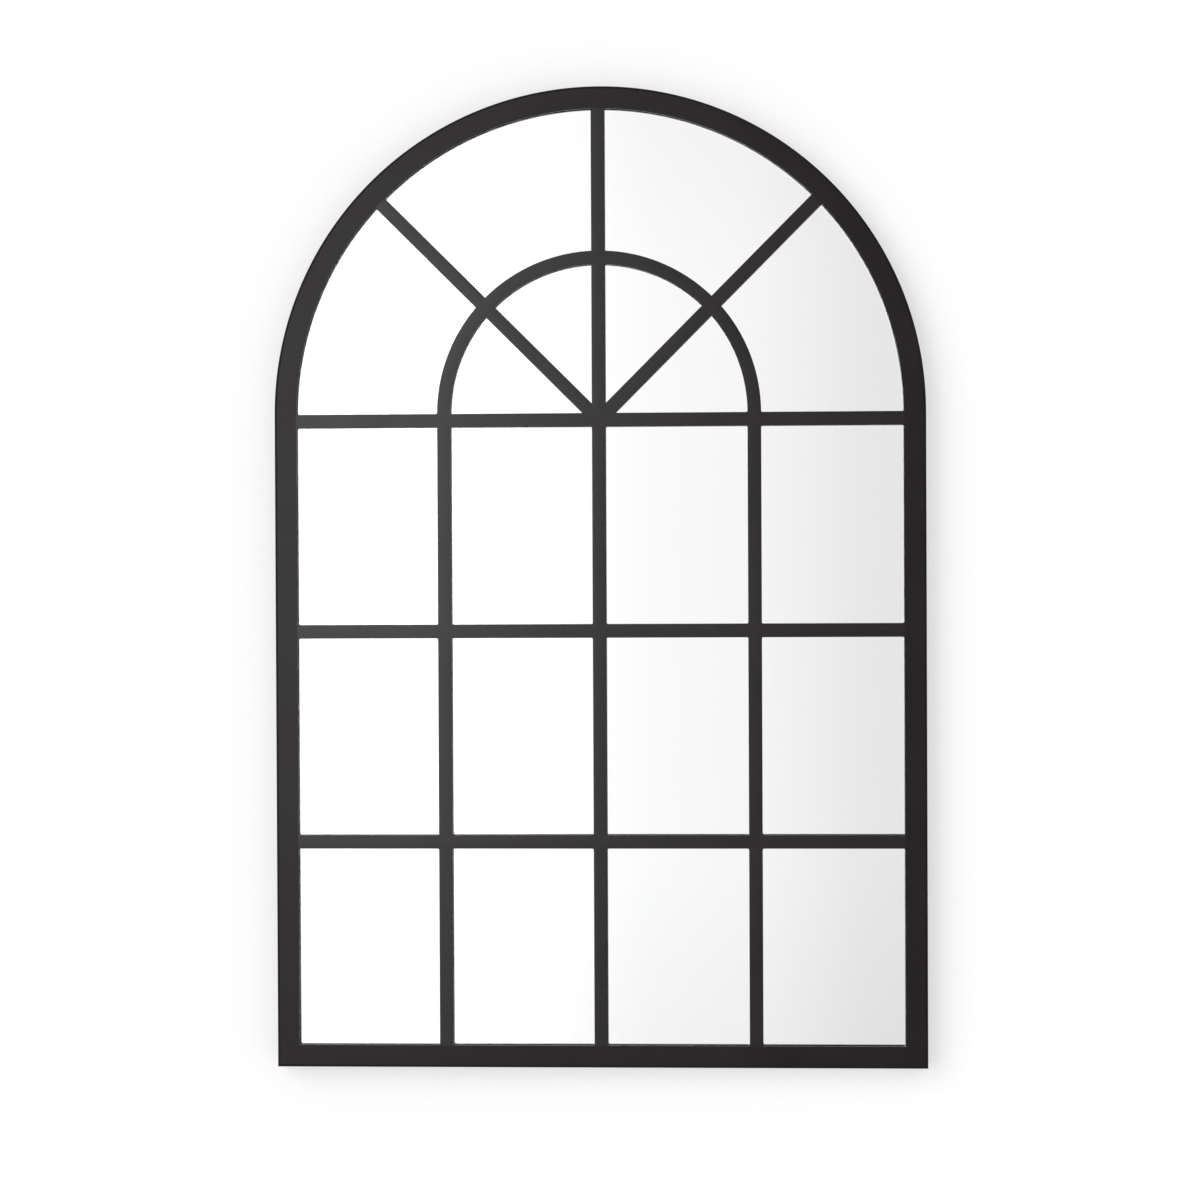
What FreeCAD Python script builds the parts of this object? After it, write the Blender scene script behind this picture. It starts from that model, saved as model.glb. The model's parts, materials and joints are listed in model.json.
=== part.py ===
import FreeCAD, Part
import math
import os

import Sketcher

# Arched window mirror: a welded steel frame and lattice over one sheet of mirror glass.
# X runs across, Y from the front to the wall and Z up. The origin is the middle of the
# bottom edge, half way through the depth.

doc = FreeCAD.newDocument("archedWindowMirror")
sheet = doc.addObject("Spreadsheet::Sheet", "Sizes")

sizes = {
    # outside of the frame, in mm
    "overallWidth": 598,
    "overallHeight": 900,
    "overallDepth": 25,
    # folded steel angle of the frame: face, thickness and outer bend
    "railFace": 20.5,
    "railWall": 3,
    "bendRadius": 2.5,
    # flat bar of the lattice
    "barWidth": 12.5,
    "barThickness": 3,
    # glazing, from the front to the back
    "tapeThickness": 0.8,
    "tapeSetback": 1.4,
    "glassThickness": 4,
    "foamThickness": 1,
    "foamInset": 6,
    "boardThickness": 3,
    "glassClearance": 0.6,
    # threaded bosses welded behind the face of the frame
    "bossRadius": 4,
    "fixingClearance": 0.5,
    # pan head screws
    "screwRadius": 2,
    "screwLength": 8,
    "screwClearance": 0.05,
    "headRadius": 4,
    "headHeight": 2.6,
    "headEdge": 1,
    "recessWidth": 1.1,
    "recessSpan": 4.4,
    "recessDepth": 1.5,
    # swivel clips that keep the back board in
    "clipWidth": 11,
    "clipReach": 22,
    "clipThickness": 1.5,
    "clipGap": 0.1,
    "thumbWidth": 7,
    "thumbThickness": 1.5,
    "thumbHeight": 4,
    "thumbSetback": 1,
    "washerRadius": 4.5,
    "washerThickness": 0.8,
    # where the clips stand
    "lowClipRise": 150,
    "highClipDrop": 221,
    "bottomClipOffset": 143,
    "archClipAngle": 62,
    # keyhole hanger plates, below the spring line of the arch
    "hangerDrop": 81,
    "hangerLength": 76,
    "hangerWidth": 13,
    "hangerThickness": 2,
    "hangerHeadRoom": 0.2,
    "hangerHolePitch": 60,
    "keyholeEntry": 4.2,
    "keyholeSlot": 2.2,
    "keyholeRise": 11,
    # rubber bumpers that stand on the wall
    "bumperRadius": 6,
    "bumperProud": 1,
    "bumperSeat": 3,
    "bumperRecess": 4.4,
    "bumperCorner": 40,
    "bumperAngle": 24,
}

for row, (alias, value) in enumerate(sizes.items(), start=1):
    sheet.set(f"A{row}", alias)
    sheet.set(f"B{row}", str(value))
    sheet.setAlias(f"B{row}", alias)
doc.recompute()


def size(formula):
    # the present value of a formula, for first guesses and for angles
    return float(sheet.evalExpression(formula))


# Formulas that more than one piece shares.
halfWidth = "Sizes.overallWidth / 2"
springLine = "(Sizes.overallHeight - Sizes.overallWidth / 2)"
front = "(-Sizes.overallDepth / 2)"
wallPlane = "(Sizes.overallDepth / 2)"
rim = f"({wallPlane} - Sizes.bumperProud)"
sightRadius = f"({halfWidth} - Sizes.railFace)"
# panes of one size between the rails and the bars, four across and three up
paneColumns, paneRows = 4, 3
columnPitch = f"(({sightRadius} * 2 + Sizes.barWidth) / {paneColumns})"
rowPitch = f"(({springLine} - Sizes.railFace) / {paneRows})"
innerArchRadius = columnPitch
innerArchOuter = f"({innerArchRadius} + Sizes.barWidth / 2)"
innerArchInner = f"({innerArchRadius} - Sizes.barWidth / 2)"
hubLevel = f"({springLine} - Sizes.barWidth / 2)"
# the layers behind the face of the frame
flangeBack = f"({front} + Sizes.railWall)"
glassFront = f"({front} + max(Sizes.railWall; Sizes.barThickness) + Sizes.tapeThickness)"
foamFront = f"({glassFront} + Sizes.glassThickness)"
boardFront = f"({foamFront} + Sizes.foamThickness)"
boardBack = f"({boardFront} + Sizes.boardThickness)"
bossTop = f"({boardBack} + Sizes.clipGap)"
clipFront = f"({bossTop} + Sizes.clipGap)"
washerFront = f"({clipFront} + Sizes.clipThickness + Sizes.clipGap)"
clipHead = f"({washerFront} + Sizes.washerThickness)"
hangerBack = f"({rim} - Sizes.headHeight - Sizes.hangerHeadRoom)"
hangerFront = f"({hangerBack} - Sizes.hangerThickness)"
# the line of bosses keeps the widest fixing clear of the frame's side
widestFixing = "max(Sizes.clipWidth / 2; Sizes.hangerWidth / 2; Sizes.bumperRadius)"
bossSetback = f"(Sizes.railWall + {widestFixing} + Sizes.fixingClearance)"
glassInset = f"({bossSetback} + Sizes.bossRadius + Sizes.glassClearance)"
hangerLevel = f"({springLine} - Sizes.hangerDrop)"
holeRadius = "(Sizes.screwRadius + Sizes.screwClearance)"

parts = []


def keep(piece, label):
    # a finished piece: its label names its file
    piece.Label = label
    parts.append(piece)
    return piece


def bind(piece, **formulas):
    for name, formula in formulas.items():
        piece.setExpression(name, formula)
    return piece


def place(piece, x="0", y="0", z="0", axis=None, angle=0):
    if axis:
        rotation = FreeCAD.Rotation(FreeCAD.Vector(*axis), angle)
        piece.Placement = FreeCAD.Placement(FreeCAD.Vector(), rotation)
    for name, formula in (("x", x), ("y", y), ("z", z)):
        piece.setExpression("Placement.Base." + name, formula)
    return piece


def makeBox(name, length, width, height, x, y, z):
    box = doc.addObject("Part::Box", name)
    bind(box, Length=length, Width=width, Height=height)
    return place(box, x, y, z)


def makeRod(name, radius, length, x, y, z):
    # a round bar that points from the front to the wall
    rod = doc.addObject("Part::Cylinder", name)
    bind(rod, Radius=radius, Height=length)
    return place(rod, x, y, z, (1, 0, 0), -90)


def cut(name, base, tool):
    result = doc.addObject("Part::Cut", name)
    result.Base, result.Tool = base, tool
    return result


def common(name, base, tool):
    result = doc.addObject("Part::Common", name)
    result.Base, result.Tool = base, tool
    return result


def mirrored(name, source):
    copy = doc.addObject("Part::Mirroring", name)
    copy.Source = source
    copy.Normal = FreeCAD.Vector(1, 0, 0)
    return copy


def gather(label, pieces):
    group = doc.addObject("Part::Compound", label)
    group.Links = pieces
    return keep(group, label)


def originPlane(body, role):
    return [f for f in body.Origin.OriginFeatures if f.Role == role][0]


def newSketch(body, role, name):
    sketch = body.newObject("Sketcher::SketchObject", name)
    sketch.AttachmentSupport = [(originPlane(body, role), "")]
    sketch.MapMode = "FlatFace"
    return sketch


def pin(sketch, geometry, point, x, y):
    # ties one point of the sketch to its two formulas; None leaves that side free
    for formula, kind, axis in ((x, "DistanceX", -2), (y, "DistanceY", -1)):
        if formula is None:
            continue
        value = size(formula)
        if abs(value) < 1e-9:
            sketch.addConstraint(Sketcher.Constraint("PointOnObject", geometry, point, axis))
            continue
        index = sketch.addConstraint(Sketcher.Constraint(kind, -1, 1, geometry, point, value))
        sketch.setExpression(f"Constraints[{index}]", formula)


def drawOutline(body, role, name, corners, arcs=None):
    # A closed outline through corners, counter-clockwise. arcs maps a corner's number to the
    # centre of the arc that starts there, with None for the side that its ends settle.
    arcs = arcs or {}
    sketch = newSketch(body, role, name)
    points = [FreeCAD.Vector(size(x), size(y), 0) for x, y in corners]
    count = len(points)
    for i in range(count):
        begin, end = points[i], points[(i + 1) % count]
        if i in arcs:
            guess = arcs[i]["guess"]
            centre = FreeCAD.Vector(size(guess[0]), size(guess[1]), 0)
            a = math.atan2(begin.y - centre.y, begin.x - centre.x)
            b = math.atan2(end.y - centre.y, end.x - centre.x)
            circle = Part.Circle(centre, FreeCAD.Vector(0, 0, 1), begin.distanceToPoint(centre))
            sketch.addGeometry(Part.ArcOfCircle(circle, a, b if b > a else b + 2 * math.pi))
        else:
            sketch.addGeometry(Part.LineSegment(begin, end))
    for i in range(count):
        sketch.addConstraint(Sketcher.Constraint("Coincident", i, 2, (i + 1) % count, 1))
    for i in range(count):
        pin(sketch, i, 1, *corners[i])
    for i, arc in arcs.items():
        pin(sketch, i, 3, *arc["pin"])
    return sketch


def arcAround(x, y, pinned):
    # pinned names the side of the centre that is tied: "x" or "y"
    return {"guess": (x, y), "pin": (x, None) if pinned == "x" else (None, y)}


def pad(body, sketch, length, name, away=False):
    feature = body.newObject("PartDesign::Pad", name)
    feature.Profile = sketch
    feature.Reversed = away
    feature.setExpression("Length", length)
    return feature


def pocketThrough(body, sketch, name):
    feature = body.newObject("PartDesign::Pocket", name)
    feature.Profile = sketch
    feature.Type = "ThroughAll"
    feature.Midplane = True
    return feature


def newBody(name):
    return doc.addObject("PartDesign::Body", name)


# Frame: one folded angle for the two stiles, the bottom rail and the arch.


def angleSection(body, name, outerEdge):
    # face along x from the outer edge inwards, side along y towards the wall
    def across(distance):
        return f"{outerEdge} + {distance}"

    depth = f"{rim} - {front}"
    corners = [
        (across("Sizes.bendRadius"), "0"),
        (across("Sizes.railFace"), "0"),
        (across("Sizes.railFace"), "Sizes.railWall"),
        (across("Sizes.railWall"), "Sizes.railWall"),
        (across("Sizes.railWall"), depth),
        (across("0"), depth),
        (across("0"), "Sizes.bendRadius"),
    ]
    arcs = {6: arcAround(across("Sizes.bendRadius"), "Sizes.bendRadius", "x")}
    return drawOutline(body, "XY_Plane", name, corners, arcs)


def mitreBlock(name, side):
    # a block with one face on the 45 degree plane through the left bottom corner,
    # twice as long as the face of the rail is wide, so that it passes the whole mitre
    block = doc.addObject("Part::Box", name)
    reach = "Sizes.railFace * 2"
    bind(block, Length=reach, Width="Sizes.overallDepth", Height=reach)
    turn = 45 if side == "below" else -45
    return place(block, f"-{halfWidth}", front, "0", (0, 1, 0), turn)


def makeStile():
    body = newBody("stileBar")
    section = angleSection(body, "stileSection", f"-{halfWidth}")
    pad(body, section, springLine, "stileLength")
    place(body, y=front)
    left = cut("stileMitred", body, mitreBlock("stileMitre", "below"))
    keep(mirrored("stileRight", left), "right_stile")
    return keep(left, "left_stile")


def makeBottomRail():
    body = newBody("railBar")
    section = angleSection(body, "railSection", "0")
    pad(body, section, "Sizes.overallWidth", "railLength")
    place(body, x=halfWidth, y=front, axis=(0, 1, 0), angle=-90)
    leftEnd = cut("railLeftMitred", body, mitreBlock("railLeftMitre", "above"))
    rightMitre = mirrored("railRightMitre", mitreBlock("railRightMitreSource", "above"))
    return keep(cut("railMitred", leftEnd, rightMitre), "bottom_rail")


def makeArch():
    body = newBody("archBar")
    section = angleSection(body, "archSection", f"-{halfWidth}")
    bend = body.newObject("PartDesign::Revolution", "archBend")
    bend.Profile = section
    bend.ReferenceAxis = (section, ["V_Axis"])
    bend.Angle = 180
    bend.Reversed = False
    place(body, y=front, z=springLine)
    return keep(body, "arch_rail")


# Lattice: flat bars, flush with the face of the frame.


def barBox(name, x, z, length, height):
    return makeBox(name, length, "Sizes.barThickness", height, x, front, z)


def transomLevel(row):
    # underside of a cross bar, counted up from the bottom rail
    return f"(Sizes.railFace + {rowPitch} * {row} - Sizes.barWidth)"


def makeTransoms():
    span = f"2 * {sightRadius}"
    for row, label in ((1, "lower_transom"), (2, "middle_transom"), (3, "upper_transom")):
        keep(barBox(label, f"-{sightRadius}", transomLevel(row), span, "Sizes.barWidth"), label)


def makeUprights():
    for column, side in ((-1, "left"), (0, "centre"), (1, "right")):
        for row, level in ((1, "lower"), (2, "middle"), (3, "upper")):
            label = f"{side}_upright_{level}"
            foot = f"(Sizes.railFace + {rowPitch} * {row - 1})"
            height = f"{rowPitch} - Sizes.barWidth"
            edge = f"{columnPitch} * {column} - Sizes.barWidth / 2"
            keep(barBox(label, edge, foot, "Sizes.barWidth", height), label)


def halfDisc(name, radius):
    # the upper half, drawn from its back face towards the front
    disc = makeRod(name, radius, "Sizes.barThickness", "0", front, springLine)
    disc.Angle = 180
    return place(disc, "0", f"{front} + Sizes.barThickness", springLine, (1, 0, 0), 90)


def fullDisc(name, radius):
    return makeRod(name, radius, "Sizes.barThickness", "0", front, springLine)


def makeInnerArch():
    disc = halfDisc("innerArchDisc", innerArchOuter)
    hole = fullDisc("innerArchHole", innerArchInner)
    return keep(cut("innerArchRing", disc, hole), "inner_arch")


def spokeBar(name, turn):
    # a long flat bar that starts at the hub; turn is its lean from upright
    bar = barBox(name, "0", "0", "Sizes.barWidth", "Sizes.overallWidth")
    lean = math.radians(turn)
    half = "Sizes.barWidth / 2"
    x = f"-{half} * {math.cos(lean)}"
    z = f"{hubLevel} + {half} * {math.sin(lean)}"
    return place(bar, x, front, z, (0, 1, 0), turn)


def makeSpokes():
    for side, turn in (("centre", 0), ("left", -45)):
        inside = common(side + "InnerSpokeBar", spokeBar(side + "InnerSpokeBlank", turn),
                        halfDisc(side + "InnerSpokeZone", innerArchInner))
        ring = cut(side + "OuterSpokeZone", halfDisc(side + "OuterSpokeDisc", sightRadius),
                   fullDisc(side + "OuterSpokeHole", innerArchOuter))
        outside = common(side + "OuterSpokeBar", spokeBar(side + "OuterSpokeBlank", turn), ring)
        if side == "left":
            # the leaning spokes butt against the centre one at the hub
            inside = cut("leftInnerSpokeEnd", inside, spokeBar("leftInnerSpokeStop", 0))
            keep(mirrored("rightInnerSpokeCopy", inside), "right_spoke_inner")
            keep(mirrored("rightOuterSpokeCopy", outside), "right_spoke_outer")
        keep(inside, side + "_spoke_inner")
        keep(outside, side + "_spoke_outer")


# Glazing: tape, mirror glass, foam and back board, all arched sheets.


def archedSheet(name, inset, thickness, level):
    body = newBody(name)
    edge = f"({halfWidth} - {inset})"
    corners = [
        (f"-{edge}", f"{inset}"),
        (edge, f"{inset}"),
        (edge, springLine),
        (f"-{edge}", springLine),
    ]
    arcs = {2: arcAround("0", springLine, "y")}
    outline = drawOutline(body, "XZ_Plane", name + "Outline", corners, arcs)
    pad(body, outline, thickness, name + "Pad", away=True)
    return place(body, y=level)


def makeGlazing():
    keep(archedSheet("mirrorGlass", glassInset, "Sizes.glassThickness", glassFront), "mirror_glass")
    foamEdge = f"({glassInset} + Sizes.foamInset)"
    keep(archedSheet("foamSheet", foamEdge, "Sizes.foamThickness", foamFront), "foam_sheet")
    keep(archedSheet("backBoard", glassInset, "Sizes.boardThickness", boardFront), "back_board")
    tapeEdge = "(Sizes.railFace - Sizes.tapeSetback)"
    tapeDepth = f"{glassFront} - {flangeBack}"
    tapeBlank = archedSheet("tapeBlank", glassInset, tapeDepth, flangeBack)
    tapeHole = archedSheet("tapeHole", tapeEdge, tapeDepth, flangeBack)
    keep(cut("tapeRing", tapeBlank, tapeHole), "glazing_tape")


# Fixings behind the face of the frame.


def stationOnArch(degrees):
    # a point on the line of bosses round the arch; degrees count up from the spring line
    turn = math.radians(degrees)
    radius = f"({halfWidth} - {bossSetback})"
    return (f"{radius} * {math.cos(turn)}", f"{springLine} + {radius} * {math.sin(turn)}")


def clipStations():
    # name, x, z and the way that the clip points, in degrees from upright about Y
    side = f"({halfWidth} - {bossSetback})"
    archDegrees = size("Sizes.archClipAngle")
    stations = []
    for name, sign in (("left", -1), ("right", 1)):
        inward = -90 * sign
        stations.append((f"clip_{name}_lower", f"{sign} * {side}", "Sizes.lowClipRise", inward))
        high = f"{springLine} - Sizes.highClipDrop"
        stations.append((f"clip_{name}_upper", f"{sign} * {side}", high, inward))
        stations.append((f"clip_bottom_{name}", f"{sign} * Sizes.bottomClipOffset", bossSetback, 0))
        x, z = stationOnArch(archDegrees)
        stations.append((f"clip_arch_{name}", f"{sign} * {x}", z, sign * (90 - archDegrees) + 180))
    return stations


def bumperStations():
    x, z = stationOnArch(size("Sizes.bumperAngle"))
    corner = f"({halfWidth} - Sizes.bumperCorner)"
    stations = []
    for sign in (-1, 1):
        stations.append((f"{sign} * {corner}", bossSetback))
        stations.append((f"{sign} * {x}", z))
    return stations


def hangerStations():
    # the two screws of each plate, the left plate's first
    column = f"({halfWidth} - {bossSetback})"
    half = "Sizes.hangerHolePitch / 2"
    return [
        (f"{sign} * {column}", f"{hangerLevel} + {way} * {half}")
        for sign in (-1, 1)
        for way in (-1, 1)
    ]


def makeBoss(name, x, z, top):
    length = f"{top} - {flangeBack}"
    outside = makeRod(name + "Outside", "Sizes.bossRadius", length, x, flangeBack, z)
    thread = makeRod(name + "Thread", holeRadius, length, x, flangeBack, z)
    return cut(name, outside, thread)


def makeBosses():
    places = [(x, z) for _, x, z, _ in clipStations()] + bumperStations()
    short = [makeBoss(f"shortBoss{i}", x, z, bossTop) for i, (x, z) in enumerate(places)]
    gather("short_weld_bosses", short)
    tall = [makeBoss(f"tallBoss{i}", x, z, hangerFront) for i, (x, z) in enumerate(hangerStations())]
    gather("tall_weld_bosses", tall)


def makeScrew(name, x, z, seat):
    # seat is the underside of the head; the cross recess faces the wall
    tip = f"{seat} - Sizes.screwLength"
    shank = makeRod(name + "Shank", "Sizes.screwRadius", "Sizes.screwLength", x, tip, z)
    rimHeight = "(Sizes.headHeight - Sizes.headEdge)"
    lowHead = makeRod(name + "HeadLow", "Sizes.headRadius", rimHeight, x, seat, z)
    dome = doc.addObject("Part::Cone", name + "HeadTop")
    topRadius = "Sizes.headRadius - Sizes.headEdge"
    bind(dome, Radius1="Sizes.headRadius", Radius2=topRadius, Height="Sizes.headEdge")
    place(dome, x, f"{seat} + {rimHeight}", z, (1, 0, 0), -90)
    solid = doc.addObject("Part::MultiFuse", name + "Solid")
    solid.Shapes = [shank, lowHead, dome]
    top = f"{seat} + Sizes.headHeight - Sizes.recessDepth"
    span, width = "Sizes.recessSpan", "Sizes.recessWidth"
    slots = []
    for way, (long, tall) in (("Across", (span, width)), ("Up", (width, span))):
        slots.append(makeBox(f"{name}Slot{way}", long, "Sizes.recessDepth", tall,
                             f"{x} - {long} / 2", top, f"{z} - {tall} / 2"))
    cross = doc.addObject("Part::MultiFuse", name + "Cross")
    cross.Shapes = slots
    return cut(name, solid, cross)


def makeScrews():
    stations = [(x, z, clipHead) for _, x, z, _ in clipStations()]
    stations += [(x, z, f"({bossTop} + Sizes.bumperSeat)") for x, z in bumperStations()]
    stations += [(x, z, hangerBack) for x, z in hangerStations()]
    screws = [makeScrew(f"screw{i}", x, z, seat) for i, (x, z, seat) in enumerate(stations)]
    gather("fixing_screws", screws)


def makeWashers():
    rings = []
    for i, (_, x, z, _) in enumerate(clipStations()):
        disc = makeRod(f"washerDisc{i}", "Sizes.washerRadius", "Sizes.washerThickness", x, washerFront, z)
        hole = makeRod(f"washerHole{i}", holeRadius, "Sizes.washerThickness", x, washerFront, z)
        rings.append(cut(f"washer{i}", disc, hole))
    gather("clip_washers", rings)


def makeClip(label, x, z, turn):
    # a round-ended plate that turns on its screw, with a thumb lip bent up at the tip
    body = newBody(label)
    half = "(Sizes.clipWidth / 2)"
    corners = [
        (half, "0"),
        (half, "Sizes.clipReach"),
        (f"-{half}", "Sizes.clipReach"),
        (f"-{half}", "0"),
    ]
    arcs = {1: arcAround("0", "Sizes.clipReach", "y"), 3: arcAround("0", "0", "y")}
    outline = drawOutline(body, "XZ_Plane", label + "Outline", corners, arcs)
    pad(body, outline, "Sizes.clipThickness", label + "Plate", away=True)
    lipHalf = "(Sizes.thumbWidth / 2)"
    lipTop = f"(Sizes.clipReach + {half} - Sizes.thumbSetback)"
    lip = drawOutline(body, "XZ_Plane", label + "LipOutline", [
        (f"-{lipHalf}", f"{lipTop} - Sizes.thumbThickness"),
        (lipHalf, f"{lipTop} - Sizes.thumbThickness"),
        (lipHalf, lipTop),
        (f"-{lipHalf}", lipTop),
    ])
    pad(body, lip, "Sizes.thumbHeight", label + "Lip", away=True)
    eye = newSketch(body, "XZ_Plane", label + "EyeOutline")
    eye.addGeometry(Part.Circle(FreeCAD.Vector(), FreeCAD.Vector(0, 0, 1), size(holeRadius)))
    eye.addConstraint(Sketcher.Constraint("Coincident", 0, 3, -1, 1))
    index = eye.addConstraint(Sketcher.Constraint("Radius", 0, size(holeRadius)))
    eye.setExpression(f"Constraints[{index}]", holeRadius)
    pocketThrough(body, eye, label + "Eye")
    place(body, x, clipFront, z, (0, 1, 0), turn)
    return keep(body, label)


def makeHanger():
    # a screwed plate with a keyhole: the wall screw's head goes in below and slides up
    body = newBody("hangerPlate")
    half = "(Sizes.hangerWidth / 2)"
    straight = f"(Sizes.hangerLength / 2 - {half})"
    plate = drawOutline(body, "XZ_Plane", "hangerOutline", [
        (half, f"-{straight}"),
        (half, straight),
        (f"-{half}", straight),
        (f"-{half}", f"-{straight}"),
    ], {1: arcAround("0", straight, "y"), 3: arcAround("0", f"-{straight}", "y")})
    pad(body, plate, "Sizes.hangerThickness", "hangerPlatePad", away=True)
    shoulder = "sqrt(Sizes.keyholeEntry ^ 2 - Sizes.keyholeSlot ^ 2)"
    keyhole = drawOutline(body, "XZ_Plane", "hangerKeyhole", [
        ("Sizes.keyholeSlot", shoulder),
        ("Sizes.keyholeSlot", "Sizes.keyholeRise"),
        ("-Sizes.keyholeSlot", "Sizes.keyholeRise"),
        ("-Sizes.keyholeSlot", shoulder),
    ], {1: arcAround("0", "Sizes.keyholeRise", "y"), 3: arcAround("0", "0", "y")})
    pocketThrough(body, keyhole, "hangerKeyholeCut")
    place(body, f"-({halfWidth} - {bossSetback})", hangerFront, hangerLevel)
    plateSolid = body
    for i, (x, z) in enumerate(hangerStations()[:2]):
        hole = makeRod(f"hangerHole{i}", holeRadius, "Sizes.hangerThickness", x, hangerFront, z)
        plateSolid = cut(f"hangerDrilled{i}", plateSolid, hole)
    keep(mirrored("hangerRight", plateSolid), "right_hanger_plate")
    return keep(plateSolid, "left_hanger_plate")


def makeBumpers():
    feet = []
    height = f"{wallPlane} - {bossTop}"
    seat = f"({bossTop} + Sizes.bumperSeat)"
    depth = f"{wallPlane} - {seat}"
    for i, (x, z) in enumerate(bumperStations()):
        foot = makeRod(f"bumperFoot{i}", "Sizes.bumperRadius", height, x, bossTop, z)
        hole = makeRod(f"bumperHole{i}", holeRadius, "Sizes.bumperSeat", x, bossTop, z)
        recess = makeRod(f"bumperRecess{i}", "Sizes.bumperRecess", depth, x, seat, z)
        feet.append(cut(f"bumper{i}", cut(f"bumperBored{i}", foot, hole), recess))
    gather("wall_bumpers", feet)


makeArch()
makeStile()
makeBottomRail()
makeTransoms()
makeUprights()
makeInnerArch()
makeSpokes()
makeGlazing()
makeBosses()
for station in clipStations():
    makeClip(*station)
makeWashers()
makeHanger()
makeBumpers()
makeScrews()
doc.recompute()

for item in doc.Objects:
    if "Invalid" in item.State or "Error" in item.State:
        raise RuntimeError(f"{item.Name} did not build: {item.State}")
for piece in parts:
    shape = piece.Shape
    if shape.isNull() or not shape.isValid() or not shape.Solids:
        raise RuntimeError(f"{piece.Label} is not a valid solid")

os.makedirs("parts", exist_ok=True)
for piece in parts:
    piece.Shape.exportStep(f"parts/{piece.Label}.step")
    box = piece.Shape.BoundBox
    print(f"{piece.Label}: {len(piece.Shape.Solids)} solids, {piece.Shape.Volume:.1f} mm3, "
          f"x {box.XMin:.2f} {box.XMax:.2f} y {box.YMin:.2f} {box.YMax:.2f} z {box.ZMin:.2f} {box.ZMax:.2f}")
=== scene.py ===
import json
import math

import bmesh
import bpy
from mathutils import Matrix, Vector


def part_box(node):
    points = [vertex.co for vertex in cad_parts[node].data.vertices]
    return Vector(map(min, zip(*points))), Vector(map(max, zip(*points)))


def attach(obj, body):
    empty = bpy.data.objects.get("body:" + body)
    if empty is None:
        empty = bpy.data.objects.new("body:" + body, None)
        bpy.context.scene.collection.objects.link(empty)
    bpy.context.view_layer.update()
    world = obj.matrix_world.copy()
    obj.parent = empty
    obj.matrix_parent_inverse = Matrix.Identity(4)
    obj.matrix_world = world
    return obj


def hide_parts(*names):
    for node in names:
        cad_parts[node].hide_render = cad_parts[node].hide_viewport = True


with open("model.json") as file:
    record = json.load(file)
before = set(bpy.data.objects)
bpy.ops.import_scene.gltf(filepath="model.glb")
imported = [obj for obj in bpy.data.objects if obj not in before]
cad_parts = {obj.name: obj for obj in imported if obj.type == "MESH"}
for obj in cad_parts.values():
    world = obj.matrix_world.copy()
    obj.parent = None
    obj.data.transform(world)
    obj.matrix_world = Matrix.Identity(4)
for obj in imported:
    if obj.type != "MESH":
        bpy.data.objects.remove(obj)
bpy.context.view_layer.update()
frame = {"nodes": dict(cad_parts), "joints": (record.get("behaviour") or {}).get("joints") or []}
print("frame loaded:", len(frame["nodes"]), "nodes")

# materials


class Wire:
    # an output of a material's node; arithmetic on it adds Math nodes
    def __init__(self, finish, socket):
        self.finish, self.socket = finish, socket

    def math(self, operation, first, second):
        return self.finish.add("ShaderNodeMath", {"operation": operation}, {0: first, 1: second})

    def __add__(self, other):
        return self.math("ADD", self, other)

    def __sub__(self, other):
        return self.math("SUBTRACT", self, other)

    def __rsub__(self, other):
        return self.math("SUBTRACT", other, self)

    def __mul__(self, other):
        return self.math("MULTIPLY", self, other)

    def __abs__(self):
        return self.math("ABSOLUTE", self, 0.0)


class Finish:
    # a node tree that is filled in one call at a time
    def __init__(self, tree):
        self.tree = tree
        tree.nodes.clear()

    def add(self, kind, settings=None, inputs=None, out=0):
        node = self.tree.nodes.new(kind)
        for name, value in (settings or {}).items():
            if name == "stops":
                ramp = node.color_ramp
                while len(ramp.elements) < len(value):
                    ramp.elements.new(0.5)
                for element, (place, colour) in zip(ramp.elements, value):
                    element.position, element.color = place, colour
            else:
                setattr(node, name, value)
        for name, value in (inputs or {}).items():
            if isinstance(value, Wire):
                self.tree.links.new(value.socket, node.inputs[name])
            else:
                node.inputs[name].default_value = value
        return Wire(self, node.outputs[out])

    def blend(self, factor, first, second):
        # a colour between two colours
        return self.add("ShaderNodeMix", {"data_type": "RGBA"}, {0: factor, 6: first, 7: second}, 2)

    def spread(self, source, low, high, toLow, toHigh):
        # a value carried from one range to another, held at its ends
        return self.add("ShaderNodeMapRange", {}, {0: source, 1: low, 2: high, 3: toLow, 4: toHigh})

    def noise(self, place, scale, detail=2.0, roughness=0.5, distortion=0.0):
        return self.add("ShaderNodeTexNoise", {}, {
            "Vector": place, "Scale": scale, "Detail": detail, "Roughness": roughness,
            "Distortion": distortion})

    def stretched(self, place, scale, turn=(0, 0, 0)):
        return self.add("ShaderNodeMapping", {}, {"Vector": place, "Scale": scale, "Rotation": turn})

    def bump(self, height, depth, strength=1.0):
        return self.add("ShaderNodeBump", {}, {"Height": height, "Distance": depth, "Strength": strength})


class Coat(Finish):
    # a surface with one Principled shader
    def __init__(self, name):
        self.material = bpy.data.materials.new(name)
        self.material.use_nodes = True
        super().__init__(self.material.node_tree)
        self.shader = self.tree.nodes.new("ShaderNodeBsdfPrincipled")
        output = self.tree.nodes.new("ShaderNodeOutputMaterial")
        self.tree.links.new(self.shader.outputs[0], output.inputs["Surface"])
        self.place = self.add("ShaderNodeTexCoord", {}, {}, "Object")

    def set(self, **values):
        # fixed values go on the shader's own sockets, and wires are linked to them
        names = {"baseColor": "Base Color", "roughness": "Roughness", "metallic": "Metallic",
                 "normal": "Normal", "specular": "Specular IOR Level", "ior": "IOR",
                 "transmission": "Transmission Weight"}
        for name, value in values.items():
            socket = self.shader.inputs[names[name]]
            if isinstance(value, Wire):
                self.tree.links.new(value.socket, socket)
            else:
                socket.default_value = value
        return self.material


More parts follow.
